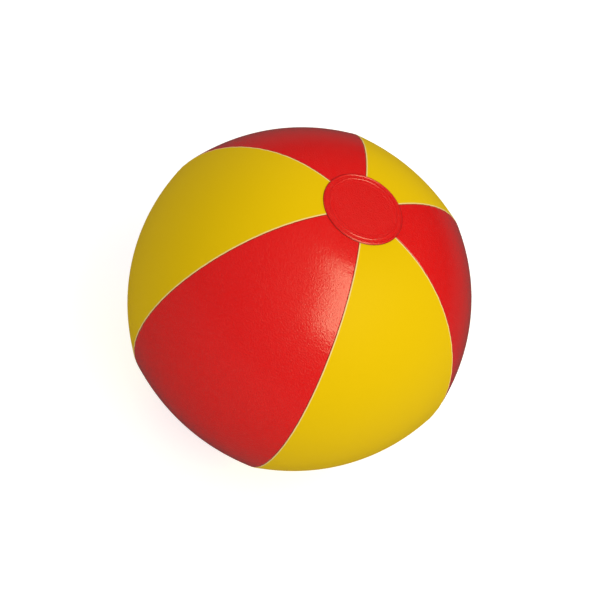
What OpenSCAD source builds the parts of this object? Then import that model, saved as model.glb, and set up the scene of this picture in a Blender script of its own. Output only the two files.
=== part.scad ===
// Inflatable beach ball, blown up: six lap-welded film panels, two end discs and a push-in valve.
// The origin is the ball's centre, +Z runs through the middle of the upper end disc, and the first
// seam lies in the XZ plane on the +X side. Millimetres.

/* [Ball] */
// Diameter from seam to seam round the middle
ball_d = 280; // [220:1:420]
// Height of the seams' ellipse as a share of ball_d
pole_share = 0.963; // [0.9:0.001:1]
// How much the poles are flattened off that ellipse, as a share of the height
pole_dip = 0.0645; // [0:0.0005:0.08]
// How far that flattening reaches round each pole, as a share of the ball's radius
dip_reach = 0.371; // [0.3:0.001:0.5]
// How flat a panel is across its middle: 0 is round, 1 is a flat-sided hexagon
panel_flatness = 0.185; // [0:0.005:0.5]
// How fast that flatness dies away towards the poles
flatness_fade = 1.5; // [0.6:0.1:3]

/* [Film] */
// Thickness of the film
film_t = 0.3; // [0.2:0.05:0.6]
// Width of the lap weld along each seam
lap_w = 5; // [3:0.5:8]
// Width of the step where a red panel dips under a yellow one
step_w = 1; // [0.6:0.1:2]
// Glue-line gap left between two welded layers
weld_gap = 0.02; // [0.01:0.01:0.1]

/* [End discs] */
// Diameter of an end disc
disc_d = 64; // [50:1:90]
// Thickness of an end disc
disc_t = 0.5; // [0.3:0.1:1]
// Width of the weld between an end disc and the panel tips
disc_lap = 8; // [5:0.5:12]
// Number of raised weld rings
ring_count = 2; // [1:1:3]
// Distance from the rim to the middle of the outer weld ring
ring_inset = 1.3; // [1:0.1:2]
// Distance from one weld ring to the next
ring_pitch = 3.5; // [2:0.1:4]
// Width of a weld ring
ring_w = 1.6; // [1:0.1:1.9]
// Height of a weld ring
ring_h = 0.5; // [0.2:0.1:0.8]

/* [Valve place] */
// Panel that holds the valve, counted from the first seam
valve_panel = 2; // [2]
// Latitude of the valve, below the ball's middle
valve_lat = -30; // [-45:1:-15]

/* [Valve] */
// Outside diameter of the flange under the film
flange_d = 35; // [32:1:40]
// Thickness of the flange
flange_t = 0.6; // [0.4:0.1:1]
// Diameter of the hole in the film
film_hole_d = 21; // [20:0.5:23]
// Diameter of the opening in the flange, where the skirt starts
skirt_mouth_d = 17.2; // [16.5:0.1:18]
// Wall of the skirt
skirt_t = 0.6; // [0.4:0.1:0.8]
// Outside diameter of the stem
stem_d = 9; // [8.5:0.1:10]
// Length of the stem
stem_l = 11; // [10:0.5:14]
// How far the rim of the stem stands above the film when pushed in
rim_rise = 2; // [1.5:0.1:3]
// Diameter of the air bore below the plug, which takes a pump's nozzle
nozzle_bore_d = 5.5; // [4.5:0.1:5.6]
// Diameter of the plug's seat at the mouth of the stem
seat_d = 6; // [5.8:0.1:6.2]
// Depth of the plug's seat
seat_l = 4; // [3.8:0.1:5]
// Width of the foot collar at the inner end of the stem
foot_w = 0.5; // [0.3:0.1:0.6]
// Height of the foot collar
foot_h = 1; // [0.8:0.1:1.5]

/* [Plug, strap and flap] */
// Diameter of the plug's head
head_d = 13; // [12:0.5:14]
// Thickness of the plug's head
head_t = 2; // [1.5:0.1:2.5]
// Length of the plug's shank
shank_l = 3.5; // [3:0.1:3.5]
// Taper of the shank: how much smaller in diameter its tip is
shank_taper = 1.3; // [1.2:0.1:1.6]
// Gap round the plug, between its head and the stem's rim too
plug_gap = 0.05; // [0.03:0.01:0.08]
// Distance from the stem's axis to the plug's hinge line
hinge_x = 9.5; // [9:0.1:10]
// Height of the plug's hinge line above the stem's rim
hinge_rise = 0.2; // [0.1:0.1:0.3]
// Wall of the strap's collar round the stem
collar_wall = 1.2; // [0.8:0.1:1.5]
// Width of the strap and of the plug's tab
strap_w = 4; // [3:0.5:5]
// Thickness of the strap and of the plug's tab
strap_t = 0.8; // [0.6:0.1:0.9]
// Diameter of the non-return flap
flap_d = 8.4; // [8:0.1:8.8]
// Thickness of the flap
flap_t = 0.5; // [0.4:0.1:0.8]
// Gap between the flap and the end of the stem
flap_gap = 0.1; // [0.05:0.01:0.2]

/* [Hidden] */

red = [0.83, 0.07, 0.06];
yellow = [0.96, 0.82, 0.05];
clear_vinyl = [0.9, 0.92, 0.9];

panel_count = 6;
sector = 360 / panel_count;
ball_r = ball_d / 2;
disc_r = disc_d / 2;
tip_r = disc_r - disc_lap;
// latitude where the panels' tips end, under the end discs
tip_lat = lat_at(tip_r);
rows = 32;
spans = 9;
profile_steps = 64;
flange_steps = 6;
disc_facets = 96;
valve_facets = 72;
// how far a cutter reaches past what it cuts
cut_over = 1;

// share of the panel flatness left at a latitude: none at the rim of an end disc
function flatness(lat) =
    panel_flatness * pow(max(0, (cos(lat) - disc_r / ball_r) / (1 - disc_r / ball_r)), flatness_fade);
// distance of a seam from the centre: an ellipse, flattened round both poles
function seam_r(lat) =
    ball_r / sqrt(pow(cos(lat), 2) + pow(sin(lat) / pole_share, 2))
    * (1 - pole_dip * exp(-pow(cos(lat) / dip_reach, 2)));
// latitude where a seam is at a distance from the polar axis, closing in on it turn by turn
function lat_at(rho, lat = 80, turns = 12) =
    turns == 0 ? lat : lat_at(rho, acos(rho / seam_r(lat)), turns - 1);
// angle from the middle of the panel at an azimuth
function off_middle(az) = az - sector * (floor(az / sector) + 0.5);
// distance of the film's outer face from the centre, in any direction
function film_r(az, lat) =
    seam_r(lat) * pow(cos(sector / 2) / cos(off_middle(az)), flatness(lat));
function on_ball(r, az, lat) = [r * cos(lat) * cos(az), r * cos(lat) * sin(az), r * sin(lat)];
// angle that a width takes up round the ball at a latitude
function width_angle(w, lat) = w / (seam_r(lat) * cos(lat)) * 180 / PI;
// height of an end disc's underside at a distance from the polar axis
function pole_z(rho) = let (lat = lat_at(rho)) seam_r(lat) * sin(lat);

// azimuths across a row of a panel. The red panels have a margin beyond each edge, which dips under
// the yellow panels and is welded there
function row_angles(lat, red_side) =
    let (lap = width_angle(lap_w, lat), inset = red_side ? width_angle(step_w, lat) : lap)
    [
        if (red_side) -lap,
        0,
        for (s = [0 : spans]) inset + (sector - 2 * inset) * s / spans,
        sector,
        if (red_side) sector + lap
    ];
function panel_row(index, lat, depth, red_side) =
    [
        for (angle = row_angles(lat, red_side))
            let (az = sector * index + angle)
            let (dip = red_side && (angle <= 0 || angle >= sector) ? film_t + weld_gap : 0)
            on_ball(film_r(az, lat) - dip - depth, az, lat)
    ];
function quad(a, b, c, d) = [[a, b, c], [a, c, d]];

// one panel: an outer and an inner skin, closed round its edges
module panel(index, colour, red_side) {
    lats = [for (j = [0 : rows]) -tip_lat + 2 * tip_lat * j / rows];
    outer = [for (lat = lats) each panel_row(index, lat, 0, red_side)];
    inner = [for (lat = lats) each panel_row(index, lat, film_t, red_side)];
    skin = len(outer);
    cols = skin / len(lats);
    faces = [
        for (j = [0 : rows - 1], c = [0 : cols - 2])
            let (a = j * cols + c, b = a + 1, up = a + cols)
            each concat(quad(a, up, up + 1, b), quad(skin + a, skin + b, skin + up + 1, skin + up)),
        for (j = [0 : rows - 1])
            let (a = j * cols, b = a + cols - 1)
            each concat(quad(a, skin + a, skin + a + cols, a + cols),
                        quad(b, b + cols, skin + b + cols, skin + b)),
        for (c = [0 : cols - 2])
            let (a = c, b = rows * cols + c)
            each concat(quad(a, a + 1, skin + a + 1, skin + a),
                        quad(b, skin + b, skin + b + 1, b + 1))
    ];
    color(colour) polyhedron(points = concat(outer, inner), faces = faces, convexity = 6);
}
module red_panel(index) {
    panel(index, red, true);
}
module yellow_panel(index) {
    panel(index, yellow, false);
}

// the panel with the valve has a round hole for it
module valved_panel() {
    difference() {
        red_panel(valve_panel);
        at_valve() translate([0, 0, -film_hole_d / 2])
            cylinder(d = film_hole_d, h = film_hole_d, $fn = valve_facets);
    }
}

// height of the raised weld rings at a distance from the polar axis
function ring_rise(rho) =
    max([for (n = [0 : ring_count - 1])
        ring_h * max(0, 1 - pow((rho - disc_r + ring_inset + n * ring_pitch) / (ring_w / 2), 2))]);

// round end disc, domed with the ball, with raised weld rings near its rim
module end_disc(colour) {
    steps = [for (j = [0 : profile_steps]) disc_r * j / profile_steps];
    under = [for (rho = steps) [rho, pole_z(rho) + weld_gap]];
    over = [
        for (j = [profile_steps : -1 : 0])
            let (rho = steps[j])
            [rho, pole_z(rho) + weld_gap + disc_t + ring_rise(rho)]
    ];
    color(colour) rotate_extrude($fn = disc_facets) polygon(concat(under, over));
}

module top_cap() {
    end_disc(red);
}

module bottom_cap() {
    mirror([0, 0, 1]) end_disc(red);
}

// the valve's own frame: its origin on the film's outer face, +Z straight out of the ball, and the
// strap towards -X
valve_az = sector * (valve_panel + 0.5);
valve_r = film_r(valve_az, valve_lat);
module at_valve() {
    translate(on_ball(valve_r, valve_az, valve_lat))
        rotate([0, 90 - valve_lat, valve_az])
            children();
}

foot_z = rim_rise - stem_l;
seat_z = rim_rise - seat_l;
skirt_gap = 0.1;
// the plug's chamfer, the tab's lift over the hinge line and its run into the head
edge = 0.4;
tab_lift = 0.1;
tab_root = 1;
// the flap's hinge line lies this far inside the foot's edge
flap_inset = 0.1;
// the film is made of flat facets, so the flange stays this far under them
facet_room = 0.45;
// direction from the ball's centre to a point beside the valve's axis, in the ball's own frame
function valve_side(rho, turn) =
    let (across = rho * cos(turn) / valve_r, round = rho * sin(turn) / valve_r)
    let (out = sqrt(1 - pow(rho / valve_r, 2)))
    across * [sin(valve_lat) * cos(valve_az), sin(valve_lat) * sin(valve_az), -cos(valve_lat)]
    + round * [-sin(valve_az), cos(valve_az), 0]
    + out * on_ball(1, valve_az, valve_lat);
// height of the flange beside the valve's axis, in the valve's frame: it follows the film above it
function flange_z(rho, turn, depth) =
    let (side = valve_side(rho, turn))
    let (film = film_r(atan2(side.y, side.x), asin(side.z)) - film_t - facet_room - depth)
    sqrt(pow(film, 2) - pow(rho, 2)) - valve_r;

// ring under the film, curved as the film is: an upper and a lower face, closed round both edges
module valve_flange() {
    inner_r = skirt_mouth_d / 2;
    radii = [for (j = [0 : flange_steps]) inner_r + (flange_d / 2 - inner_r) * j / flange_steps];
    turns = [for (c = [0 : valve_facets - 1]) 360 * c / valve_facets];
    points = [
        for (depth = [0, flange_t], rho = radii, turn = turns)
            [rho * cos(turn), rho * sin(turn), flange_z(rho, turn, depth)]
    ];
    skin = len(points) / 2;
    faces = [
        for (c = [0 : valve_facets - 1])
            let (next = (c + 1) % valve_facets)
            each concat(
                [for (j = [0 : flange_steps - 1])
                    let (a = j * valve_facets, b = a + valve_facets)
                    each concat(quad(a + c, a + next, b + next, b + c),
                                quad(skin + a + c, skin + b + c, skin + b + next, skin + a + next))],
                quad(c, skin + c, skin + next, next),
                let (rim = flange_steps * valve_facets)
                quad(rim + c, rim + next, skin + rim + next, skin + rim + c))
    ];
    at_valve() color(clear_vinyl) polyhedron(points = points, faces = faces, convexity = 4);
}

// soft cone between the flange and the foot of the stem, turned inwards while the valve is pushed in
module valve_skirt() {
    mouth_r = skirt_mouth_d / 2 - weld_gap;
    neck_r = stem_d / 2 + foot_w + skirt_gap;
    top_z = flange_z(mouth_r, 90, 0);
    outline = [
        [mouth_r, top_z], [mouth_r, top_z - flange_t], [neck_r + skirt_t, foot_z],
        [neck_r, foot_z], [neck_r, foot_z + foot_h], [mouth_r - skirt_t, top_z]
    ];
    at_valve() color(clear_vinyl) rotate_extrude($fn = disc_facets) polygon(outline);
}

// blow tube: a seat for the plug at its mouth and the air bore below it
module valve_stem() {
    at_valve() color(clear_vinyl) difference() {
        union() {
            translate([0, 0, foot_z]) cylinder(d = stem_d, h = stem_l, $fn = valve_facets);
            translate([0, 0, foot_z]) cylinder(d = stem_d + 2 * foot_w, h = foot_h, $fn = valve_facets);
        }
        translate([0, 0, foot_z - cut_over])
            cylinder(d = nozzle_bore_d, h = stem_l, $fn = valve_facets);
        translate([0, 0, seat_z]) cylinder(d = seat_d, h = seat_l + cut_over, $fn = valve_facets);
    }
}

// collar round the stem below its rim, with the band that the plug hangs on
module valve_strap() {
    collar_r = stem_d / 2 + weld_gap;
    top_z = rim_rise + hinge_rise - strap_t / 2;
    at_valve() color(clear_vinyl) translate([0, 0, top_z - strap_t]) difference() {
        union() {
            cylinder(r = collar_r + collar_wall, h = strap_t, $fn = valve_facets);
            translate([-hinge_x, -strap_w / 2, 0]) cube([hinge_x, strap_w, strap_t]);
        }
        translate([0, 0, -cut_over])
            cylinder(r = collar_r, h = strap_t + 2 * cut_over, $fn = valve_facets);
    }
}

// stopper: a tapered shank in the stem's seat, a round head over its rim and a tab to the strap
module valve_plug() {
    shank_r = seat_d / 2 - plug_gap;
    head_z = rim_rise + plug_gap;
    tab_z = rim_rise + hinge_rise + tab_lift;
    at_valve() color(clear_vinyl) {
        translate([0, 0, rim_rise - shank_l])
            cylinder(r1 = shank_r - shank_taper / 2, r2 = shank_r, h = shank_l + plug_gap,
                $fn = valve_facets);
        translate([0, 0, head_z]) cylinder(d = head_d, h = head_t - edge, $fn = valve_facets);
        translate([0, 0, head_z + head_t - edge])
            cylinder(d1 = head_d, d2 = head_d - 2 * edge, h = edge, $fn = valve_facets);
        translate([-hinge_x, -strap_w / 2, tab_z])
            cube([hinge_x - head_d / 2 + tab_root, strap_w, strap_t]);
    }
}

// disc under the stem's inner end, which air blown in pushes open
module valve_flap() {
    hinge_r = stem_d / 2 + foot_w - flap_inset;
    at_valve() color(clear_vinyl) translate([0, 0, foot_z - flap_gap - flap_t]) {
        cylinder(d = flap_d, h = flap_t, $fn = valve_facets);
        translate([-hinge_r, -strap_w / 2, 0]) cube([hinge_r, strap_w, flap_t]);
    }
}

red_panel(0);  // panel_red_1
yellow_panel(1);  // panel_yellow_1
valved_panel();  // panel_red_2
yellow_panel(3);  // panel_yellow_2
red_panel(4);  // panel_red_3
yellow_panel(5);  // panel_yellow_3
top_cap();
bottom_cap();
valve_flange();
valve_skirt();
valve_stem();
valve_strap();
valve_plug();
valve_flap();
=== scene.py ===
import math

import bpy
import numpy as np
from mathutils import Matrix, Vector


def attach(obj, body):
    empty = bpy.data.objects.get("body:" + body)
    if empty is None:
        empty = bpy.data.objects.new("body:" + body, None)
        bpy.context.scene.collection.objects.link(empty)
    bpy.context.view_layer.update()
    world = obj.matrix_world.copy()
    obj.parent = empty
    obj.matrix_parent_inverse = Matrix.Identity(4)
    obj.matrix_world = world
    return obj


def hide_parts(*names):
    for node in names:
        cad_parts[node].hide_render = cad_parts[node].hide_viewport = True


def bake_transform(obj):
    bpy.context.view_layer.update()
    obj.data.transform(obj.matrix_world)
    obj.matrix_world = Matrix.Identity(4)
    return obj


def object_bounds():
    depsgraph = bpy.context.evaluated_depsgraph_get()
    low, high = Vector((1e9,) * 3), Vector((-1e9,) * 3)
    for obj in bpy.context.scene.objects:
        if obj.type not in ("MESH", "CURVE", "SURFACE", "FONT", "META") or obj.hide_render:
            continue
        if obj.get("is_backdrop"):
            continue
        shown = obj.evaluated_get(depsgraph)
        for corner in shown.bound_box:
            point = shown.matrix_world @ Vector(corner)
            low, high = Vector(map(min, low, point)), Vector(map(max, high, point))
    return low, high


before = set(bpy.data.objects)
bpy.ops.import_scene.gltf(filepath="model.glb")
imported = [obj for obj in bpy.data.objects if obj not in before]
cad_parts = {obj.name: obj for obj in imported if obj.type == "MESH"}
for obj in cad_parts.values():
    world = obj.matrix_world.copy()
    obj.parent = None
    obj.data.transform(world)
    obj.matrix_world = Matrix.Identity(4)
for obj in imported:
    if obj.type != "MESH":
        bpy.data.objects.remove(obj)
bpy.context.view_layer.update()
scene = bpy.context.scene
print("frame loaded:", len(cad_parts), "nodes")

# where the camera stands, looking at the ball's centre: angles in degrees, lengths in metres
cameraSetup = {
    "azimuth": 7.65,
    "elevation": 49.9,
    "roll": 35.26,
    "distance": 1.3572,
    "lens": 102.36,
    "shiftRight": 0.000117,
    "shiftUp": -0.001092,
}


# back = (sin a cos e, -cos a cos e, sin e); right and up lie square to it, turned together by the roll
def cameraAxes(azimuth, elevation, roll):
    a, e, r = np.radians([azimuth, elevation, roll])
    back = np.array([np.sin(a) * np.cos(e), -np.cos(a) * np.cos(e), np.sin(e)])
    level = np.array([np.cos(a), np.sin(a), 0.0])
    above = np.cross(back, level)
    return np.cos(r) * level + np.sin(r) * above, -np.sin(r) * level + np.cos(r) * above, back


def placeCamera(setup):
    right, up, back = cameraAxes(setup["azimuth"], setup["elevation"], setup["roll"])
    data = bpy.data.cameras.new("camera")
    data.lens = setup["lens"]
    data.sensor_width = 36.0
    data.clip_start, data.clip_end = 0.05, 60.0
    camera = bpy.data.objects.new("camera", data)
    scene.collection.objects.link(camera)
    place = back * setup["distance"] + right * setup["shiftRight"] + up * setup["shiftUp"]
    turn = Matrix(np.stack([right, up, back], axis=1).tolist()).to_4x4()
    camera.matrix_world = Matrix.Translation(Vector(place)) @ turn
    scene.camera = camera
    return right, up, back


cameraRight, cameraUp, cameraBack = placeCamera(cameraSetup)
print("camera placed")

# the blown-up ball: lengths in metres
ballShape = {
    "radius": 0.140,            # from the centre to a seam, round the middle
    "seamEllipse": 0.963,       # height of the seams' ellipse over its width
    "poleDip": 0.0645,          # how much the poles are flattened off it
    "dipReach": 0.371,
    "panelFlatness": 0.185,     # 0 is round, 1 is a flat-sided hexagon
    "flatnessFade": 1.5,
    "film": 0.0003,
    "weldGap": 0.00002,
    "stepWidth": 0.0011,        # where a red panel dips under a yellow one
    "edgeRound": 0.00014,
    "edgeBead": 0.00007,        # flash pressed up along a weld, this far in and this wide
    "beadInset": 0.00045,
    "beadWidth": 0.0003,
    "discRadius": 0.032,
    "tipRadius": 0.024,
    "pucker": 0.00007,
    "puckerWidth": 0.007,
    "puckerStart": 0.036,       # from the polar axis, past the end disc
    "puckerFade": 0.02,
    "puckerWaves": ((1.0, 0.71, 2.1), (0.7, 0.43, 4.7), (0.5, 1.13, 1.3)),  # height, turn per mm, shift
}
sector = math.pi / 3
mm = 0.001


# seam radius = R / sqrt(cos^2 + (sin/share)^2) * (1 - dip * exp(-(cos/reach)^2)), by latitude
def seamRadius(lat):
    b = ballShape
    ellipse = b["radius"] / np.sqrt(np.cos(lat) ** 2 + (np.sin(lat) / b["seamEllipse"]) ** 2)
    return ellipse * (1 - b["poleDip"] * np.exp(-((np.cos(lat) / b["dipReach"]) ** 2)))


# flatness = share * ((cos(lat) - disc/R) / (1 - disc/R)) ^ fade, and none from the end disc inwards
def flatnessAt(lat):
    b = ballShape
    rim = b["discRadius"] / b["radius"]
    left = np.maximum(0, (np.cos(lat) - rim) / (1 - rim))
    return b["panelFlatness"] * left ** b["flatnessFade"]


# film radius = seam radius * (cos 30 / cos(angle off the panel's middle)) ^ flatness
def filmRadius(az, lat):
    off = np.mod(az, sector) - sector / 2
    return seamRadius(lat) * (np.cos(sector / 2) / np.cos(off)) ** flatnessAt(lat)


def onBall(r, az, lat):
    return np.stack([r * np.cos(lat) * np.cos(az), r * np.cos(lat) * np.sin(az), r * np.sin(lat)], axis=-1)


# latitude whose seam point is rho from the polar axis: lat = acos(rho / seamRadius(lat)), closed in on
def latitudeAt(rho):
    lat = np.full_like(np.asarray(rho, float), 1.4)
    for step in range(14):
        lat = np.arccos(np.clip(rho / seamRadius(lat), -1, 1))
    return lat


# pucker = height * exp(-(distance from the seam / width)^2) * a sum of three waves along the seam
def puckerAt(az, lat):
    b = ballShape
    nearest = np.round(az / sector)
    off = (az - nearest * sector) * seamRadius(lat) * np.cos(lat)
    along = lat * b["radius"] / mm
    wave = sum(height * np.sin(along * turn + nearest * shift) for height, turn, shift in b["puckerWaves"])
    rho = seamRadius(lat) * np.cos(lat)
    clear = np.clip((rho - b["puckerStart"]) / b["puckerFade"], 0, 1)
    return b["pucker"] * np.exp(-((off / b["puckerWidth"]) ** 2)) * wave * clear ** 2


# the valve's own axes: out of the ball, towards the free side and across
valvePlace = {"azimuth": 150.0, "latitude": -30.0}
valveAz, valveLat = math.radians(valvePlace["azimuth"]), math.radians(valvePlace["latitude"])
valveRadius = float(filmRadius(valveAz, valveLat))
valveOut = onBall(1.0, valveAz, valveLat)
valveAcross = np.array([-math.sin(valveAz), math.cos(valveAz), 0.0])
valveAlong = np.cross(valveAcross, valveOut)
valveOrigin = valveOut * valveRadius


# point in the valve's frame, in millimetres -> point in the ball's frame, in metres
def fromValve(local):
    local = np.asarray(local, float) * mm
    along, across, out = local[..., :1], local[..., 1:2], local[..., 2:]
    return valveOrigin + along * valveAlong + across * valveAcross + out * valveOut


# the direction through (a, b) beside the valve's axis, as azimuth and latitude on the ball
def besideValve(a, b):
    out = np.sqrt(1 - (a * a + b * b) / valveRadius ** 2)
    d = (a[..., None] * valveAlong + b[..., None] * valveAcross) / valveRadius + out[..., None] * valveOut
    return np.arctan2(d[..., 1], d[..., 0]), np.arcsin(d[..., 2])


def smoothStep(x):
    x = np.clip(x, 0, 1)
    return x * x * (3 - 2 * x)


# the film over the valve's flange stands up by the flange's thickness, with two pressed weld rings
valvePrint = {
    "flangeRadius": 0.0175, "lift": 0.00032, "stepWidth": 0.0016,
    "weldRadii": (0.0160, 0.0135), "weldDepth": 0.00014, "weldWidth": 0.0005,
}


# lift = height * step down past the flange's edge - depth * exp(-((r - weld) / width)^2) at each weld
def valveLift(a, b):
    p = valvePrint
    r = np.hypot(a, b)
    lift = p["lift"] * (1 - smoothStep((r - p["flangeRadius"]) / p["stepWidth"]))
    for weld in p["weldRadii"]:
        lift = lift - p["weldDepth"] * np.exp(-(((r - weld) / p["weldWidth"]) ** 2))
    return lift


# puts points and faces into a mesh object; attributes are given one value per point
def meshPiece(name, points, faces, attributes=None):
    mesh = bpy.data.meshes.new(name)
    mesh.from_pydata(np.asarray(points, float).tolist(), [], [list(f) for f in faces])
    mesh.validate()
    mesh.shade_smooth()
    for label, values in (attributes or {}).items():
        layer = mesh.attributes.new(label, "FLOAT", "POINT")
        layer.data.foreach_set("value", np.asarray(values, np.float32))
    mesh.update()
    piece = bpy.data.objects.new(name, mesh)
    scene.collection.objects.link(piece)
    return piece


# quads of a rows x columns grid whose points run row by row; wrap joins the last column to the first
def gridQuads(rows, cols, wrap=False):
    last = cols if wrap else cols - 1
    j, c = np.meshgrid(np.arange(rows - 1), np.arange(last), indexing="ij")
    a = j * cols + c
    b = j * cols + (c + 1) % cols
    return np.stack([a, b, b + cols, a + cols], axis=-1).reshape(-1, 4)


# an outer skin and an inner one with the same faces, closed by a wall along every open edge
def closeSkins(outer, inner, quads):
    count = len(outer)
    edges = np.concatenate([quads[:, [i, (i + 1) % 4]] for i in range(4)])
    keys = edges[:, 0] * count + edges[:, 1]
    backKeys = edges[:, 1] * count + edges[:, 0]
    openEdges = edges[~np.isin(keys, backKeys)]
    a, b = openEdges[:, 0], openEdges[:, 1]
    walls = np.stack([b, a, a + count, b + count], axis=-1)
    faces = np.concatenate([quads, quads[:, ::-1] + count, walls])
    return np.concatenate([outer, inner]), faces


# ways of a fan round a rim: one triangle from the apex to each rim edge, in order or turned over
def fanFaces(apex, rimStart, count, turned):
    j = np.arange(count)
    k = (j + 1) % count
    first, second = (k, j) if turned else (j, k)
    return np.stack([np.full(count, apex), rimStart + first, rimStart + second], axis=-1).tolist()


# quads that join a closed tube's last ring back to its first
def closingQuads(rows, turns):
    j = np.arange(turns)
    k = (j + 1) % turns
    last = (rows - 1) * turns
    return np.stack([last + j, last + k, k, j], axis=-1)


# a panel's grid: rows from tip to tip, columns across its middle, and columns at these distances in
# from the seam and out under the neighbour, in mm. Round the valve, rings of these radii in mm
panelGrid = {
    "rows": 200,
    "middle": 52,
    "edge": (0, 0.07, 0.14, 0.3, 0.5, 0.7, 0.9, 1.1, 1.5, 2.2, 3.2, 4.5, 6.0),
    "lap": (-5.0, -4.8, -3.0, -1.2, -0.4, -0.05),
    "patchRings": (10.5, 10.6, 10.9, 11.6, 12.4, 12.9, 13.3, 13.7, 14.1, 14.8, 15.4, 15.8, 16.2, 16.6,
                   17.1, 17.5, 17.9, 18.3, 18.7, 19.1, 19.8, 20.8),
    "patchOut": (0.35, 0.7),    # shares of the way from the last ring to the block's border
    "patchHalf": 0.0255,        # half the block's width, in metres
    "farEdge": 0.02,            # the distance from the edge that the rings' points are given
}


# film point = film radius + pucker + edge bead - the dip under the neighbour, along its direction
def filmSurface(az, lat, edge, lapped, depth):
    b = ballShape
    r = filmRadius(az, lat) + puckerAt(az, lat)
    if lapped:
        r = r - (b["film"] + b["weldGap"]) * (1 - smoothStep(edge / b["stepWidth"]))
    else:
        r = r + b["edgeBead"] * np.exp(-(((edge - b["beadInset"]) / b["beadWidth"]) ** 2)) * (depth == 0)
        corner = np.clip(1 - edge / b["edgeRound"], 0, 1)
        r = r - (b["edgeRound"] * (1 - np.sqrt(1 - corner ** 2))) * (depth == 0)
    return onBall(r - depth, az, lat)


# one panel: latitude by row and distance from the seams by column, fine steps near the seams
def filmPanel(name, index, lapped, valved=False):
    g, b = panelGrid, ballShape
    tipLat = float(latitudeAt(b["tipRadius"]))
    lats = np.linspace(-tipLat, tipLat, g["rows"])[:, None]
    girth = seamRadius(lats) * np.cos(lats)
    nearEdge = np.array((g["lap"] if lapped else ()) + g["edge"]) * mm
    inset = nearEdge[-1] / girth
    share = np.linspace(0, 1, g["middle"])[None, 1:-1]
    left = nearEdge[None, :] / girth
    middle = inset + (sector - 2 * inset) * share
    angles = np.concatenate([left, middle, sector - left[:, ::-1]], axis=1)
    az = angles + sector * index
    lat = np.broadcast_to(lats, az.shape)
    edge = np.minimum(angles, sector - angles) * girth
    rows, cols = az.shape
    quads = gridQuads(rows, cols)
    az, lat, edge = az.ravel(), lat.ravel(), edge.ravel()
    lift = np.zeros_like(az)
    if valved:
        az, lat, edge, lift, quads = cutForValve(az, lat, edge, quads, cols)
    outer = filmSurface(az, lat, edge, lapped, 0.0)
    inner = filmSurface(az, lat, edge, lapped, b["film"])
    raised = onBall(lift, az, lat)
    points, faces = closeSkins(outer + raised, inner + raised, quads)
    return meshPiece(name, points, faces, {"edgeMm": np.tile(np.clip(edge / mm, -6, 12), 2)})


# a block of cells round the valve gives way to rings that run from its border in to the round hole
def cutForValve(az, lat, edge, quads, cols):
    g = panelGrid
    d = onBall(1.0, az, lat)
    front = d @ valveOut > 0.5
    a, b = d @ valveAlong * valveRadius, d @ valveAcross * valveRadius
    inside = front & (np.abs(a) < g["patchHalf"]) & (np.abs(b) < g["patchHalf"])
    row, col = np.divmod(np.arange(len(az)), cols)
    block = (row >= row[inside].min()) & (row <= row[inside].max())
    block &= (col >= col[inside].min()) & (col <= col[inside].max())
    gone = block[quads].all(axis=1)
    edges = np.concatenate([quads[gone][:, [i, (i + 1) % 4]] for i in range(4)])
    count = len(az)
    border = edges[~np.isin(edges[:, 0] * count + edges[:, 1], edges[:, 1] * count + edges[:, 0])][:, 0]
    turn = np.arctan2(b[border], a[border])
    border = border[np.argsort(turn)]
    turn = np.sort(turn)
    reach = np.hypot(a[border], b[border])
    radii = np.array(g["patchRings"])[:, None] * mm * np.ones_like(reach)[None, :]
    outward = np.array(g["patchOut"])[:, None]
    radii = np.concatenate([radii, radii[-1:] + (reach - radii[-1:]) * outward])
    pa, pb = radii * np.cos(turn), radii * np.sin(turn)
    ringAz, ringLat = besideValve(pa, pb)
    ringAz = np.mod(ringAz, 2 * np.pi)
    new = count + np.arange(radii.size).reshape(radii.shape)
    rings = np.concatenate([new, border[None, :]])
    nextRing = np.roll(rings, -1, axis=1)
    patch = np.stack([rings[:-1], rings[1:], nextRing[1:], nextRing[:-1]], axis=-1).reshape(-1, 4)
    kept = quads[~gone]
    allAz, allLat = np.concatenate([az, ringAz.ravel()]), np.concatenate([lat, ringLat.ravel()])
    allEdge = np.concatenate([edge, np.full(radii.size, g["farEdge"])])
    lift = np.concatenate([np.zeros(count), valveLift(pa, pb).ravel()])
    quads = np.concatenate([kept, patch])
    used, where = np.unique(quads, return_inverse=True)
    return allAz[used], allLat[used], allEdge[used], lift[used], where.reshape(-1, 4)


# corners of an outline in the plane, each rounded with steps points on a curve between its two sides
def roundOutline(corners, radii, steps=5, closed=True):
    corners = np.asarray(corners, float)
    out = []
    for i in range(len(corners)):
        if not closed and i in (0, len(corners) - 1) or radii[i] == 0:
            out.append(corners[i][None, :])
            continue
        here, before, after = corners[i], corners[i - 1], corners[(i + 1) % len(corners)]
        toBefore, toAfter = before - here, after - here
        cut = min(radii[i], 0.45 * np.linalg.norm(toBefore), 0.45 * np.linalg.norm(toAfter))
        start = here + toBefore / np.linalg.norm(toBefore) * cut
        end = here + toAfter / np.linalg.norm(toAfter) * cut
        t = np.linspace(0, 1, steps)[:, None]
        out.append((1 - t) ** 2 * start + 2 * t * (1 - t) * here + t * t * end)
    return np.concatenate(out)


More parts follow.
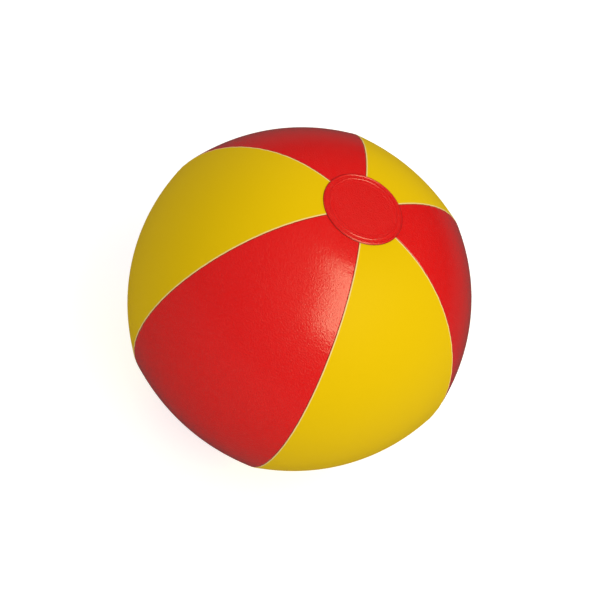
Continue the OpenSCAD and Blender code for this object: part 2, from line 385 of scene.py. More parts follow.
# turned surface: the outline's (radius, height) carried round the axis; a closed outline gives a ring,
# an open one starts and ends on the axis. The outline runs so that its faces point outwards
def turnedGrid(outline, turns, closed):
    outline = np.asarray(outline, float)
    theta = np.arange(turns) * 2 * np.pi / turns
    if closed:
        outline = np.concatenate([outline, outline[:1]])
        rho, z = outline[:, :1], outline[:, 1:]
        points = np.stack([rho * np.cos(theta), rho * np.sin(theta), z + 0 * theta], axis=-1)[:-1]
        rows = len(points)
        quads = np.concatenate([gridQuads(rows, turns, wrap=True), closingQuads(rows, turns)])
        return points.reshape(-1, 3), quads.tolist()
    rho, z = outline[1:-1, :1], outline[1:-1, 1:]
    points = np.stack([rho * np.cos(theta), rho * np.sin(theta), z + 0 * theta], axis=-1).reshape(-1, 3)
    rows = len(outline) - 2
    faces = gridQuads(rows, turns, wrap=True).tolist()
    faces += fanFaces(rows * turns, 0, turns, True)
    faces += fanFaces(rows * turns + 1, (rows - 1) * turns, turns, False)
    ends = np.array([[0, 0, outline[0, 1]], [0, 0, outline[-1, 1]]])
    return np.concatenate([points, ends]), faces


# a band's rounded-off section, and how much its end rings draw in
bandShape = {"corner": 0.35, "endThickness": 0.55, "endNarrowing": 0.0675}


# flat band: a rounded cross-section carried along a path in the valve's x-z plane, closed at its ends
# side = sign(cos) |cos|^corner width / 2, and the thickness the same with sin
def bandGrid(path, width, thickness, around=20):
    path = np.asarray(path, float)
    along = np.gradient(path, axis=0)
    along = along / np.linalg.norm(along, axis=1, keepdims=True)
    normal = np.stack([-along[:, 1], along[:, 0]], axis=1)
    theta = np.arange(around) * 2 * np.pi / around
    cosT, sinT = np.cos(theta), np.sin(theta)
    side = np.sign(cosT) * np.abs(cosT) ** bandShape["corner"] * width / 2
    thick = np.sign(sinT) * np.abs(sinT) ** bandShape["corner"] * thickness / 2
    n = len(path)
    shrink, narrow = np.ones((n, 1)), np.ones((n, 1))
    shrink[[0, -1]] = bandShape["endThickness"]
    narrow[[0, -1]] = 1 - bandShape["endNarrowing"]
    x = path[:, :1] + normal[:, :1] * thick * shrink
    z = path[:, 1:] + normal[:, 1:] * thick * shrink
    y = side * narrow
    points = np.stack([x, np.broadcast_to(y, x.shape), z], axis=-1).reshape(-1, 3)
    faces = gridQuads(n, around, wrap=True).tolist()
    faces += fanFaces(len(points), 0, around, True)
    faces += fanFaces(len(points) + 1, (n - 1) * around, around, False)
    ends = np.array([[path[0, 0], 0, path[0, 1]], [path[-1, 0], 0, path[-1, 1]]])
    return np.concatenate([points, ends]), faces


# several closed surfaces as one piece, in the valve's frame, with all faces turned outwards
def valvePiece(name, surfaces):
    points, faces, count = [], [], 0
    for p, f in surfaces:
        p = np.asarray(p, float)
        if signedVolume(p, f) < 0:
            f = [list(reversed(face)) for face in f]
        points.append(p)
        faces += [[i + count for i in face] for face in f]
        count += len(p)
    return meshPiece(name, fromValve(np.concatenate(points)), faces)


# volume = sum over each face's fan of triangles of (a . (b x c)) / 6: below zero means inside out
def signedVolume(points, faces):
    quads = np.array([list(f) + [f[-1]] * (4 - len(f)) for f in faces])
    a, b, c, d = (points[quads[:, i]] for i in range(4))
    one = np.einsum("ij,ij->i", a, np.cross(b, c)).sum()
    two = np.einsum("ij,ij->i", a, np.cross(c, d)).sum()
    return (one + two) / 6


pieces = {}
for k in range(6):
    red = k % 2 == 0
    nodeName = "panel_%s_%d" % ("red" if red else "yellow", k // 2 + 1)
    pieceName = "%sPanel%d" % ("red" if red else "yellow", k // 2 + 1)
    pieces[nodeName] = filmPanel(pieceName, k, red, nodeName == "panel_red_2")
    print("panel made:", pieceName, len(pieces[nodeName].data.polygons), "faces")

# end disc: lengths in metres; each weld ring is (distance in from the rim, width, height)
discShape = {
    "thickness": 0.0005,
    "rimRound": 0.0003,
    "rings": ((0.0013, 0.0016, 0.0005), (0.0048, 0.0015, 0.0004)),
    "tipStep": 0.00022,         # the disc sinks inside the panels' tips
    "tipFade": 0.0016,
    "seamPrint": 0.0001,        # the laps under it show through, from past the tips to the rim
    "printWidth": 0.0028,
    "printStart": 0.002,
    "printEnd": 0.0008,
    "dome": 0.0004,
    "rimCrowding": 1.25,        # the rings of points crowd towards the rim
    "turns": 288,
    "steps": 150,
}


# disc face = pole profile + thickness + rings (0.5 h (1 + cos)) + prints of the tips and the laps
def endDisc(name, side):
    s, b = discShape, ballShape
    theta = np.arange(s["turns"]) * 2 * np.pi / s["turns"]
    top = np.linspace(0, 1, s["steps"])[1:]
    rho = b["discRadius"] * (1 - (1 - top) ** s["rimCrowding"])
    base = seamRadius(latitudeAt(rho)) * np.sin(latitudeAt(rho)) + b["weldGap"]
    inside = 1 - smoothStep((rho - b["tipRadius"]) / s["tipFade"] + 0.5)
    base = base - s["tipStep"] * inside + s["dome"] * np.clip(1 - (rho / b["tipRadius"]) ** 2, 0, 1)
    face = base + s["thickness"]
    for inset, width, height in s["rings"]:
        x = np.clip((rho - b["discRadius"] + inset) / (width / 2), -1, 1)
        face = face + height * 0.5 * (1 + np.cos(np.pi * x))
    corner = np.clip((rho - b["discRadius"] + s["rimRound"]) / s["rimRound"], 0, 1)
    face = face - s["rimRound"] * (1 - np.sqrt(1 - corner ** 2))
    off = np.abs((theta / sector) - np.round(theta / sector)) * sector
    lap = np.exp(-((off[None, :] * rho[:, None] / s["printWidth"]) ** 2)) * s["seamPrint"]
    lap = lap * smoothStep((rho - b["tipRadius"]) / s["printStart"])[:, None]
    lap = lap * (1 - smoothStep((rho - b["discRadius"]) / s["printEnd"] + 1))[:, None]
    upper = np.stack([rho[:, None] * np.cos(theta), rho[:, None] * np.sin(theta), face[:, None] + lap], -1)
    low = slice(None, None, -3)
    lower = np.stack([rho[low, None] * np.cos(theta), rho[low, None] * np.sin(theta),
                      base[low, None] + 0 * theta], -1)
    points = np.concatenate([upper, lower]).reshape(-1, 3)
    rows = len(points) // s["turns"]
    faces = gridQuads(rows, s["turns"], wrap=True).tolist()
    faces += fanFaces(len(points), 0, s["turns"], True)
    faces += fanFaces(len(points) + 1, (rows - 1) * s["turns"], s["turns"], False)
    ends = [[0, 0, face[0]], [0, 0, base[0]]]
    points = np.concatenate([points, ends])
    points[:, 2] *= side
    if signedVolume(points, faces) < 0:
        faces = [list(reversed(f)) for f in faces]
    radius = np.hypot(points[:, 0], points[:, 1]) / mm
    return meshPiece(name, points, faces, {"edgeMm": b["discRadius"] / mm - radius})


pieces["top_cap"] = endDisc("topDisc", 1)
pieces["bottom_cap"] = endDisc("bottomDisc", -1)
print("end discs made")

# the valve, in millimetres in its own frame: heights count from the film's outer face
valveShape = {
    "rim": 2.0, "seatFloor": -2.0, "foot": -9.0,
    "stemRadius": 4.5, "seatRadius": 3.0, "boreRadius": 2.75,
    "footRadius": 5.0, "footHeight": 1.0,
    "headRadius": 6.5, "headBase": 2.05, "headTop": 4.05,
    "shankTop": 2.95, "shankTip": 2.3, "shankEnd": -1.5,
    "hinge": (-9.5, 2.2), "strapWidth": 4.0, "strapThickness": 0.8,
    "collarOut": 5.72, "collarIn": 4.52, "collarLow": 1.0, "collarHigh": 1.8,
    "flangeIn": 8.6, "flangeOut": 17.5, "flangeThickness": 0.6,
    "skirtMouth": 8.58, "skirtNeck": 5.1, "skirtWall": 0.6,
    "flapRadius": 4.2, "flapTop": -9.1, "flapBase": -9.6, "flapHinge": -4.9,
}


def makeStem():
    v = valveShape
    corners = [(v["boreRadius"], v["foot"]), (v["footRadius"], v["foot"]),
               (v["footRadius"], v["foot"] + v["footHeight"]),
               (v["stemRadius"], v["foot"] + v["footHeight"]),
               (v["stemRadius"], v["rim"]), (v["seatRadius"], v["rim"]),
               (v["seatRadius"], v["seatFloor"]), (v["boreRadius"], v["seatFloor"])]
    outline = roundOutline(corners, (0.25, 0.25, 0.25, 0.15, 0.4, 0.3, 0.1, 0.1))
    return valvePiece("valveStem", [turnedGrid(outline, 72, True)])


def makePlug():
    v = valveShape
    head, base, top = v["headRadius"], v["headBase"], v["headTop"]
    corners = [(0, v["shankEnd"] + 0.15), (v["shankTip"] - 0.7, v["shankEnd"] + 0.15),
               (v["shankTip"] - 0.45, v["shankEnd"]), (v["shankTip"], v["shankEnd"]),
               (v["shankTop"], base), (head - 0.1, base), (head, base + 0.3), (head, top - 0.45),
               (head - 0.45, top), (head - 1.5, top), (head - 2.0, top - 0.45), (0, top - 0.55)]
    radii = (0, 0.15, 0.15, 0.35, 0.2, 0.2, 0.2, 0.4, 0.4, 0.3, 0.3, 0)
    shank = turnedGrid(roundOutline(corners, radii, closed=False), 80, False)
    x = np.linspace(v["hinge"][0] + 0.05, -head + 1.0, 12)
    z = np.full_like(x, v["hinge"][1] + 0.1 + v["strapThickness"] / 2)
    tab = bandGrid(np.stack([x, z], 1), v["strapWidth"], v["strapThickness"])
    return valvePiece("valvePlug", [shank, tab])


# strap: a collar round the stem, a band out to the hinge and a loop there that joins the plug's tab.
# The loop is half an ellipse past the hinge, and the band is this much narrower and thinner than the tab
strapShape = {
    "start": -5.2, "loopShift": 0.35, "loopReach": 0.85, "tailEnd": 1.3,
    "narrower": 0.3, "thinner": 0.14,
}


def makeStrap():
    v = valveShape
    corners = [(v["collarIn"], v["collarLow"]), (v["collarOut"], v["collarLow"]),
               (v["collarOut"], v["collarHigh"]), (v["collarIn"], v["collarHigh"])]
    collar = turnedGrid(roundOutline(corners, (0.05, 0.3, 0.3, 0.05)), 72, True)
    hx, hz = v["hinge"]
    middle = (v["collarLow"] + v["collarHigh"]) / 2
    s = strapShape
    run = np.stack([np.linspace(s["start"], hx + 0.5, 14), np.full(14, middle)], 1)
    t = np.radians(np.linspace(-90, 90, 19))[1:]
    half = (hz + 0.1 + v["strapThickness"] / 2 - middle) / 2
    loop = np.stack([hx + s["loopShift"] - s["loopReach"] * np.cos(t), middle + half + half * np.sin(t)], 1)
    tail = np.stack([np.linspace(hx + 0.55, hx + s["tailEnd"], 4), np.full(4, middle + 2 * half)], 1)
    path = np.concatenate([run, loop, tail])
    band = bandGrid(path, v["strapWidth"] - s["narrower"], v["strapThickness"] - s["thinner"])
    return valvePiece("valveStrap", [collar, band])


# skirt: wall between the flange's opening and the stem's foot, waved where it folds as the stem moves.
# It laps onto both by this much, and its wall is a little thinner than nominal
skirtShape = {"lap": 0.3, "tuck": 0.05, "wave": 0.16, "folds": 5, "fit": 0.92}


# centreRadius = mouth to neck by a smooth step + wave * sin(folds * pi t) * sin(pi t)
def makeSkirt():
    v, s = valveShape, skirtShape
    t = np.linspace(0, 1, 40)
    top = flangeHeight(np.array([v["skirtMouth"]]), np.array([np.pi / 2]))[0]
    mouth, neck = v["skirtMouth"] - s["lap"], v["skirtNeck"] + s["lap"]
    centreRadius = mouth + (neck - mouth) * smoothStep(t)
    centreRadius = centreRadius + s["wave"] * np.sin(t * s["folds"] * np.pi) * np.sin(np.pi * t)
    z = top - s["tuck"] + (v["foot"] + s["tuck"] - top) * t
    slopeR, slopeZ = np.gradient(centreRadius), np.gradient(z)
    size = np.hypot(slopeR, slopeZ)
    nr, nz = -slopeZ / size, slopeR / size
    nz[[0, -1]] = 0
    nr = nr / np.hypot(nr, nz)
    half = v["skirtWall"] / 2 * s["fit"]
    outer = np.stack([centreRadius + nr * half, z + nz * half], 1)
    inner = np.stack([centreRadius - nr * half, z - nz * half], 1)[::-1]
    return valvePiece("valveSkirt", [turnedGrid(np.concatenate([outer, inner]), 84, True)])


# flap: a thin disc with a bevelled top, and a web out to its hinge
flapWeb = {"end": -2.5, "width": 2.6, "thickness": 0.4}


def makeFlap():
    v = valveShape
    corners = [(0, v["flapBase"]), (v["flapRadius"], v["flapBase"]), (v["flapRadius"], v["flapTop"]),
               (v["flapRadius"] - 0.8, v["flapTop"]), (v["flapRadius"] - 1.0, v["flapTop"] - 0.1),
               (0, v["flapTop"] - 0.1)]
    disc = turnedGrid(roundOutline(corners, (0, 0.2, 0.2, 0.1, 0.1, 0), closed=False), 64, False)
    middle = (v["flapBase"] + v["flapTop"]) / 2
    x = np.linspace(v["flapHinge"], flapWeb["end"], 8)
    path = np.stack([x, np.full_like(x, middle)], 1)
    web = bandGrid(path, flapWeb["width"], flapWeb["thickness"])
    return valvePiece("valveFlap", [disc, web])


# height of the film's inner face beside the valve's axis, in the valve's frame, in millimetres
def flangeHeight(r, turn):
    a, b = r * mm * np.cos(turn), r * mm * np.sin(turn)
    az, lat = besideValve(a, b)
    out = filmRadius(az, lat) + valveLift(a, b) - ballShape["film"] - ballShape["weldGap"]
    return (np.sqrt(out ** 2 - (r * mm) ** 2) - valveRadius) / mm


# flange: a ring whose upper face follows the film above it
flangeGrid = {"rings": 24, "turns": 96}


def makeFlange():
    v, turns = valveShape, flangeGrid["turns"]
    r = np.linspace(v["flangeIn"], v["flangeOut"], flangeGrid["rings"])[:, None]
    turn = (np.arange(turns) * 2 * np.pi / turns)[None, :]
    height = flangeHeight(r + 0 * turn, turn + 0 * r)
    x, y = r * np.cos(turn), r * np.sin(turn)
    upper = np.stack([x, y, height], -1)
    lower = np.stack([x, y, height - v["flangeThickness"]], -1)[::-1]
    points = np.concatenate([upper, lower])
    rows = len(points)
    faces = np.concatenate([gridQuads(rows, turns, wrap=True), closingQuads(rows, turns)])
    return valvePiece("valveFlange", [(points.reshape(-1, 3), faces.tolist())])


pieces["valve_flange"] = makeFlange()
pieces["valve_skirt"] = makeSkirt()
pieces["valve_stem"] = makeStem()
pieces["valve_strap"] = makeStrap()
pieces["valve_plug"] = makePlug()
pieces["valve_flap"] = makeFlap()
print("valve made")


# shader group with named sockets; returns it with its input and output nodes
def newGroup(name, inputs, outputs):
    group = bpy.data.node_groups.new(name, "ShaderNodeTree")
    for label, kind, value in inputs:
        socket = group.interface.new_socket(label, in_out="INPUT", socket_type=kind)
        if value is not None:
            socket.default_value = value
    for label, kind in outputs:
        group.interface.new_socket(label, in_out="OUTPUT", socket_type=kind)
    return group, group.nodes.new("NodeGroupInput"), group.nodes.new("NodeGroupOutput")


# shader node with its settings, and values for its unlinked inputs
def addNode(tree, kind, settings=None, values=None):
    node = tree.nodes.new(kind)
    for key, value in (settings or {}).items():
        setattr(node, key, value)
    for key, value in (values or {}).items():
        node.inputs[key].default_value = value
    return node


# fine pebbled grain: two noises, one for the grain and one that thins it out here and there. The pebbling
# is real; its peaks painted lighter are painted glints and its pits painted darker are painted shade
grainShape = {
    "grain": {"Detail": 2.0, "Roughness": 0.6},
    "patches": {"Scale": 26.0, "Detail": 3.0},
    # the grain's peaks painted lighter are painted glints, and its pits painted darker are painted shade
    "glintSpots": {"From Min": 0.52, "From Max": 0.74},     # the grain's heights that show lighter
    "shadedPits": {"From Min": 0.46, "From Max": 0.3},       # and darker
    "patchAmount": {"From Min": 0.35, "From Max": 0.65, "To Min": 0.55, "To Max": 1.0},
    # colour of the painted glints, screened on, and of the painted shade in the pits, multiplied on
    "paintedGlint": (0.5, 0.16, 0.1, 1),
    "paintedPitShade": (0.55, 0.5, 0.5, 1),
}


# roughness = Roughness + Spread * (patches - 0.5); colour = Colour screened in the spots as painted glints,
# multiplied in the pits as painted shade
def makeGrainGroup():
    g = grainShape
    group, i, o = newGroup(
        "grainWithPaintedGlint",
        [("Vector", "NodeSocketVector", None), ("Colour", "NodeSocketColor", None),
         ("Scale", "NodeSocketFloat", 700.0), ("Grain Glint Shade", "NodeSocketFloat", 0.2),
         ("Roughness", "NodeSocketFloat", 0.35), ("Spread", "NodeSocketFloat", 0.1)],
        [("Colour", "NodeSocketColor"), ("Height", "NodeSocketFloat"), ("Roughness", "NodeSocketFloat")])
    link = group.links.new
    grain = addNode(group, "ShaderNodeTexNoise", None, g["grain"])
    link(i.outputs["Vector"], grain.inputs["Vector"])
    link(i.outputs["Scale"], grain.inputs["Scale"])
    patches = addNode(group, "ShaderNodeTexNoise", None, g["patches"])
    link(i.outputs["Vector"], patches.inputs["Vector"])
    glintSpots = addNode(group, "ShaderNodeMapRange", None, g["glintSpots"])
    link(grain.outputs["Fac"], glintSpots.inputs["Value"])
    shadedPits = addNode(group, "ShaderNodeMapRange", None, g["shadedPits"])
    link(grain.outputs["Fac"], shadedPits.inputs["Value"])
    patchAmount = addNode(group, "ShaderNodeMapRange", None, g["patchAmount"])
    link(patches.outputs["Fac"], patchAmount.inputs["Value"])
    strength = addNode(group, "ShaderNodeMath", {"operation": "MULTIPLY"})
    link(patchAmount.outputs["Result"], strength.inputs[0])
    link(i.outputs["Grain Glint Shade"], strength.inputs[1])
    light = addNode(group, "ShaderNodeMath", {"operation": "MULTIPLY"})
    link(glintSpots.outputs["Result"], light.inputs[0])
    link(strength.outputs[0], light.inputs[1])
    dark = addNode(group, "ShaderNodeMath", {"operation": "MULTIPLY"})
    link(shadedPits.outputs["Result"], dark.inputs[0])
    link(strength.outputs[0], dark.inputs[1])
    paintedGlint = addNode(group, "ShaderNodeMix", {"data_type": "RGBA", "blend_type": "SCREEN"})
    link(light.outputs[0], paintedGlint.inputs["Factor"])
    link(i.outputs["Colour"], paintedGlint.inputs["A"])
    paintedGlint.inputs["B"].default_value = g["paintedGlint"]
    paintedPitShade = addNode(group, "ShaderNodeMix", {"data_type": "RGBA", "blend_type": "MULTIPLY"})
    link(dark.outputs[0], paintedPitShade.inputs["Factor"])
    link(paintedGlint.outputs["Result"], paintedPitShade.inputs["A"])
    paintedPitShade.inputs["B"].default_value = g["paintedPitShade"]
    link(paintedPitShade.outputs["Result"], o.inputs["Colour"])
    link(grain.outputs["Fac"], o.inputs["Height"])
    swing = addNode(group, "ShaderNodeMath", {"operation": "MULTIPLY_ADD"})
    link(i.outputs["Spread"], swing.inputs[0])
    centred = addNode(group, "ShaderNodeMath", {"operation": "SUBTRACT"}, {1: 0.5})
    link(patches.outputs["Fac"], centred.inputs[0])
    link(centred.outputs[0], swing.inputs[1])
    link(i.outputs["Roughness"], swing.inputs[2])
    link(swing.outputs[0], o.inputs["Roughness"])
    return group


# a line of another colour along a piece's edge: full up to Width, gone by Width + Soft, in millimetres. On
# the red panels the dark line is painted shade along the step where they dip under the yellow ones; the
# discs get a dark line along the rim and the yellow panels a pale cream line
def makeEdgeGroup():
    group, i, o = newGroup(
        "edgeLine",
        [("Edge", "NodeSocketFloat", 0.0), ("Width", "NodeSocketFloat", 0.6),
         ("Soft", "NodeSocketFloat", 0.3), ("Colour", "NodeSocketColor", None),
         ("Line", "NodeSocketColor", None), ("Strength", "NodeSocketFloat", 1.0)],
        [("Colour", "NodeSocketColor")])
    link = group.links.new
    far = addNode(group, "ShaderNodeMath", {"operation": "ADD"})
    link(i.outputs["Width"], far.inputs[0])
    link(i.outputs["Soft"], far.inputs[1])
    mask = addNode(group, "ShaderNodeMapRange", {"interpolation_type": "SMOOTHSTEP"},
                   {"To Min": 1.0, "To Max": 0.0})
    link(i.outputs["Edge"], mask.inputs["Value"])
    link(i.outputs["Width"], mask.inputs["From Min"])
    link(far.outputs[0], mask.inputs["From Max"])
    amount = addNode(group, "ShaderNodeMath", {"operation": "MULTIPLY"})
    link(mask.outputs["Result"], amount.inputs[0])
    link(i.outputs["Strength"], amount.inputs[1])
    mix = addNode(group, "ShaderNodeMix", {"data_type": "RGBA"})
    link(amount.outputs[0], mix.inputs["Factor"])
    link(i.outputs["Colour"], mix.inputs["A"])
    link(i.outputs["Line"], mix.inputs["B"])
    link(mix.outputs["Result"], o.inputs["Colour"])
    return group


grainGroup = makeGrainGroup()
edgeGroup = makeEdgeGroup()

# each film's finish: colours are linear, the grain's scale is per metre and its depth in metres; one value
# sets how strong the grain's painted glints and painted pit shade are
filmFinish = {
    # the red film's dark line is painted shade along the step where it dips under the yellow film
    "redFilm": {"colour": (0.95, 0.003, 0.003, 1), "scale": 900.0, "grainGlintShade": 0.10, "depth": 0.0006,
                "roughness": 0.30, "spread": 0.08, "specular": 0.35, "coat": 0.9, "coatRoughness": 0.10,
                "line": (0.22, 0.004, 0.003, 1), "lineWidth": 0.25, "lineSoft": 0.6, "lineStrength": 0.85},
    "yellowFilm": {"colour": (0.89, 0.585, 0.0002, 1), "scale": 900.0, "grainGlintShade": 0.02, "depth": 0.00003,
                   "roughness": 0.46, "spread": 0.08, "specular": 0.06, "coat": 0.0, "coatRoughness": 0.3,
                   "line": (1.0, 0.74, 0.34, 1), "lineWidth": 0.7, "lineSoft": 0.4, "lineStrength": 0.95},
    "discFilm": {"colour": (0.96, 0.003, 0.003, 1), "scale": 950.0, "grainGlintShade": 0.10, "depth": 0.0008,
                 "roughness": 0.32, "spread": 0.08, "specular": 0.40, "coat": 0.9, "coatRoughness": 0.12,
                 "line": (0.25, 0.004, 0.003, 1), "lineWidth": 0.1, "lineSoft": 0.5, "lineStrength": 0.85},
}


# the same for all films: both refractive indices, and the coat's share of the grain's depth
filmSkin = {"ior": 1.5, "coatIor": 1.8, "coatGrain": 0.25}


def makeFilm(name, finish):
    material = bpy.data.materials.new(name)
    material.use_nodes = True
    tree = material.node_tree
    tree.nodes.clear()
    link = tree.links.new
    output = tree.nodes.new("ShaderNodeOutputMaterial")
    shader = tree.nodes.new("ShaderNodeBsdfPrincipled")
    shader.inputs["IOR"].default_value = filmSkin["ior"]
    shader.inputs["Specular IOR Level"].default_value = finish["specular"]
    shader.inputs["Coat Weight"].default_value = finish["coat"]
    shader.inputs["Coat Roughness"].default_value = finish["coatRoughness"]
    shader.inputs["Coat IOR"].default_value = filmSkin["coatIor"]
    coordinates = tree.nodes.new("ShaderNodeTexCoord")
    grain = tree.nodes.new("ShaderNodeGroup")
    grain.node_tree = grainGroup
    grain.inputs["Colour"].default_value = finish["colour"]
    grain.inputs["Scale"].default_value = finish["scale"]
    grain.inputs["Grain Glint Shade"].default_value = finish["grainGlintShade"]
    grain.inputs["Roughness"].default_value = finish["roughness"]
    grain.inputs["Spread"].default_value = finish["spread"]
    link(coordinates.outputs["Object"], grain.inputs["Vector"])
    edge = tree.nodes.new("ShaderNodeAttribute")
    edge.attribute_name = "edgeMm"
    line = tree.nodes.new("ShaderNodeGroup")
    line.node_tree = edgeGroup
    line.inputs["Line"].default_value = finish["line"]
    line.inputs["Width"].default_value = finish["lineWidth"]
    line.inputs["Soft"].default_value = finish["lineSoft"]
    line.inputs["Strength"].default_value = finish["lineStrength"]
    link(edge.outputs["Fac"], line.inputs["Edge"])
    link(grain.outputs["Colour"], line.inputs["Colour"])
    link(line.outputs["Colour"], shader.inputs["Base Color"])
    link(grain.outputs["Roughness"], shader.inputs["Roughness"])
    bump = addNode(tree, "ShaderNodeBump", None, {"Strength": 1.0, "Distance": finish["depth"]})
    link(grain.outputs["Height"], bump.inputs["Height"])
    link(bump.outputs["Normal"], shader.inputs["Normal"])
    skin = addNode(tree, "ShaderNodeBump", None,
                   {"Strength": 1.0, "Distance": finish["depth"] * filmSkin["coatGrain"]})
    link(grain.outputs["Height"], skin.inputs["Height"])
    link(skin.outputs["Normal"], shader.inputs["Coat Normal"])
    link(shader.outputs["BSDF"], output.inputs["Surface"])
    return material


# clear soft vinyl of the valve, a little milky, with faint flow marks, and its grain's peaks and pits
# painted lighter and darker as painted glints and painted shade
vinylFinish = {
    "colour": (0.80, 0.83, 0.80, 1), "ior": 1.5, "roughness": 0.28, "transmission": 0.35,
    "scale": 420.0, "grainGlintShade": 0.08, "spread": 0.2, "bump": 0.6, "depth": 0.00004,
}


def makeVinyl(name, finish):
    material = bpy.data.materials.new(name)
    material.use_nodes = True
    tree = material.node_tree
    tree.nodes.clear()
    link = tree.links.new
    output = tree.nodes.new("ShaderNodeOutputMaterial")
    shader = tree.nodes.new("ShaderNodeBsdfPrincipled")
    shader.inputs["IOR"].default_value = finish["ior"]
    shader.inputs["Transmission Weight"].default_value = finish["transmission"]
    coordinates = tree.nodes.new("ShaderNodeTexCoord")
    grain = tree.nodes.new("ShaderNodeGroup")
    grain.node_tree = grainGroup
    grain.inputs["Colour"].default_value = finish["colour"]
    grain.inputs["Scale"].default_value = finish["scale"]
    grain.inputs["Grain Glint Shade"].default_value = finish["grainGlintShade"]
    grain.inputs["Roughness"].default_value = finish["roughness"]
    grain.inputs["Spread"].default_value = finish["spread"]
    link(coordinates.outputs["Object"], grain.inputs["Vector"])
    link(grain.outputs["Colour"], shader.inputs["Base Color"])
    link(grain.outputs["Roughness"], shader.inputs["Roughness"])
    bump = addNode(tree, "ShaderNodeBump", None, {"Strength": finish["bump"], "Distance": finish["depth"]})
    link(grain.outputs["Height"], bump.inputs["Height"])
    link(bump.outputs["Normal"], shader.inputs["Normal"])
    link(shader.outputs["BSDF"], output.inputs["Surface"])
    return material


redFilm = makeFilm("redFilm", filmFinish["redFilm"])
yellowFilm = makeFilm("yellowFilm", filmFinish["yellowFilm"])
discFilm = makeFilm("discFilm", filmFinish["discFilm"])
clearVinyl = makeVinyl("clearVinyl", vinylFinish)
print("materials made")

# every piece stands for its node and takes its finish; the skirt and the strap have their placing baked in,
# and the others ride on their body
bodyOf = {"valve_stem": "stem", "valve_plug": "plug", "valve_flap": "flap"}
for nodeName, piece in pieces.items():
    if "red" in nodeName:
        material, slotName = redFilm, "red_film"
    elif "yellow" in nodeName:
        material, slotName = yellowFilm, "yellow_film"
    elif "cap" in nodeName:
        material, slotName = discFilm, "disc_film"
    else:
        material, slotName = clearVinyl, "clear_vinyl"
    piece.data.materials.append(material)
    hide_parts(nodeName)
    if nodeName == "valve_skirt":
        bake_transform(piece)
    elif nodeName == "valve_strap":
        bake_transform(piece)
    else:
        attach(piece, bodyOf.get(nodeName, "ball"))
print("pieces placed on their bodies")

# plain pale floor under the ball, and soft lights; powers in watts, sizes and places in metres
studio = {
    "floor": {"size": 30.0, "colour": (0.70, 0.70, 0.70, 1), "inGloss": (0.03, 0.03, 0.03, 1),
              "roughness": 0.9, "specular": 0.1, "glow": 0.05, "seenGlow": 0.70},
    "air": {"felt": 0.49, "lean": 0.14, "leanTo": (-0.6, -0.6, 0.5), "gloss": 0.02},
    "lights": (
        # name, direction as (right, up, back) of the camera, distance, width, height, tilt, power,
        # colour, whether it shows in gloss
        ("tallBox", (0.559, 0.052, 0.828), 1.6, 1.05, 1.65, -26.0, 14.5, (0.98, 0.95, 0.60), True),
        ("backFill", (0.0, 0.95, -0.30), 2.2, 1.6, 1.2, 0.0, 6.0, (1.0, 0.95, 0.85), False),
    ),
}


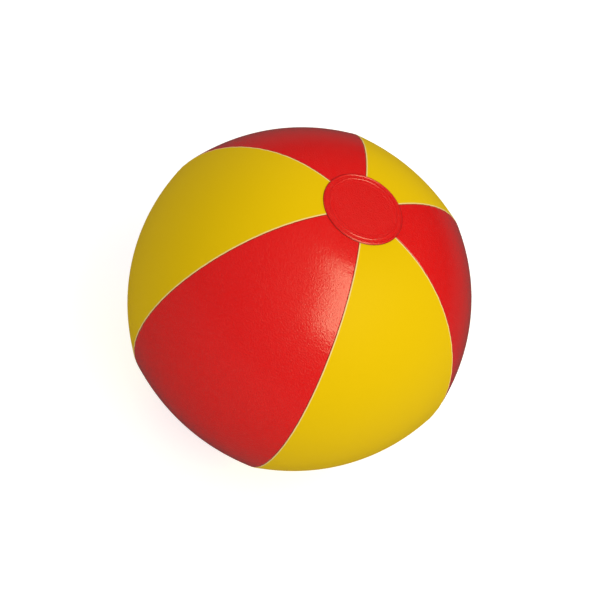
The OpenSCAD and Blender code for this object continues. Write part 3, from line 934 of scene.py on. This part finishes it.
def makeFloor(setup, height):
    n = 9
    side = np.linspace(-setup["size"] / 2, setup["size"] / 2, n)
    x, y = np.meshgrid(side, side)
    points = np.stack([x, y, np.full_like(x, height)], -1).reshape(-1, 3)
    floor = meshPiece("floor", points, gridQuads(n, n).tolist())
    material = bpy.data.materials.new("paleFloor")
    material.use_nodes = True
    tree = material.node_tree
    shader = tree.nodes["Principled BSDF"]
    shader.inputs["Roughness"].default_value = setup["roughness"]
    shader.inputs["Specular IOR Level"].default_value = setup["specular"]
    shader.inputs["Emission Color"].default_value = (1, 1, 1, 1)
    path = tree.nodes.new("ShaderNodeLightPath")
    glow = addNode(tree, "ShaderNodeMapRange", None, {"To Min": setup["glow"], "To Max": setup["seenGlow"]})
    tree.links.new(path.outputs["Is Camera Ray"], glow.inputs["Value"])
    tree.links.new(glow.outputs["Result"], shader.inputs["Emission Strength"])
    shade = addNode(tree, "ShaderNodeMix", {"data_type": "RGBA"},
                    {"A": setup["colour"], "B": setup["inGloss"]})
    tree.links.new(path.outputs["Is Glossy Ray"], shade.inputs["Factor"])
    tree.links.new(shade.outputs["Result"], shader.inputs["Base Color"])
    floor.data.materials.append(material)
    floor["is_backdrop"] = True


def makeLights(setup):
    for name, direction, distance, width, height, tilt, power, colour, inGloss in setup["lights"]:
        right, up, back = np.array(direction) / np.linalg.norm(direction)
        way = right * cameraRight + up * cameraUp + back * cameraBack
        data = bpy.data.lights.new(name, "AREA")
        data.shape = "RECTANGLE"
        data.size, data.size_y = width, height
        data.energy = power
        data.color = colour
        lamp = bpy.data.objects.new(name, data)
        lamp.visible_camera = False
        lamp.visible_glossy = inGloss
        scene.collection.objects.link(lamp)
        side = np.cross(cameraUp, way)
        side = side / np.linalg.norm(side)
        turn = Matrix(np.stack([side, np.cross(way, side), way], axis=1).tolist()).to_4x4()
        turn = turn @ Matrix.Rotation(math.radians(tilt), 4, "Z")
        lamp.matrix_world = Matrix.Translation(Vector(way * distance)) @ turn


# the air is white to look at, hardly shows in gloss, and its soft light leans to one side:
# strength = felt + lean * (direction . leanTo)
def makeAir(setup):
    world = bpy.data.worlds.new("studioAir")
    scene.world = world
    world.use_nodes = True
    tree = world.node_tree
    tree.nodes.clear()
    out = tree.nodes.new("ShaderNodeOutputWorld")
    seen = addNode(tree, "ShaderNodeBackground", None, {"Color": (1, 1, 1, 1), "Strength": 1.0})
    felt = addNode(tree, "ShaderNodeBackground", None, {"Color": (1, 1, 1, 1)})
    path = tree.nodes.new("ShaderNodeLightPath")
    right, up, back = np.array(setup["leanTo"]) / np.linalg.norm(setup["leanTo"])
    way = right * cameraRight + up * cameraUp + back * cameraBack
    sky = tree.nodes.new("ShaderNodeTexCoord")
    toward = addNode(tree, "ShaderNodeVectorMath", {"operation": "DOT_PRODUCT"}, {1: way.tolist()})
    tree.links.new(sky.outputs["Generated"], toward.inputs[0])
    leaning = addNode(tree, "ShaderNodeMath", {"operation": "MULTIPLY_ADD"},
                      {1: setup["lean"], 2: setup["felt"]})
    tree.links.new(toward.outputs["Value"], leaning.inputs[0])
    strength = addNode(tree, "ShaderNodeMapRange", None, {"To Max": setup["gloss"]})
    tree.links.new(leaning.outputs[0], strength.inputs["To Min"])
    tree.links.new(path.outputs["Is Glossy Ray"], strength.inputs["Value"])
    tree.links.new(strength.outputs["Result"], felt.inputs["Strength"])
    mix = tree.nodes.new("ShaderNodeMixShader")
    tree.links.new(path.outputs["Is Camera Ray"], mix.inputs[0])
    tree.links.new(felt.outputs[0], mix.inputs[1])
    tree.links.new(seen.outputs[0], mix.inputs[2])
    tree.links.new(mix.outputs[0], out.inputs[0])


makeFloor(studio["floor"], float(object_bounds()[0].z) - 0.00002)
makeLights(studio)
makeAir(studio["air"])
scene.view_settings.view_transform = "Standard"
scene.view_settings.look = "None"
print("floor and lights made")
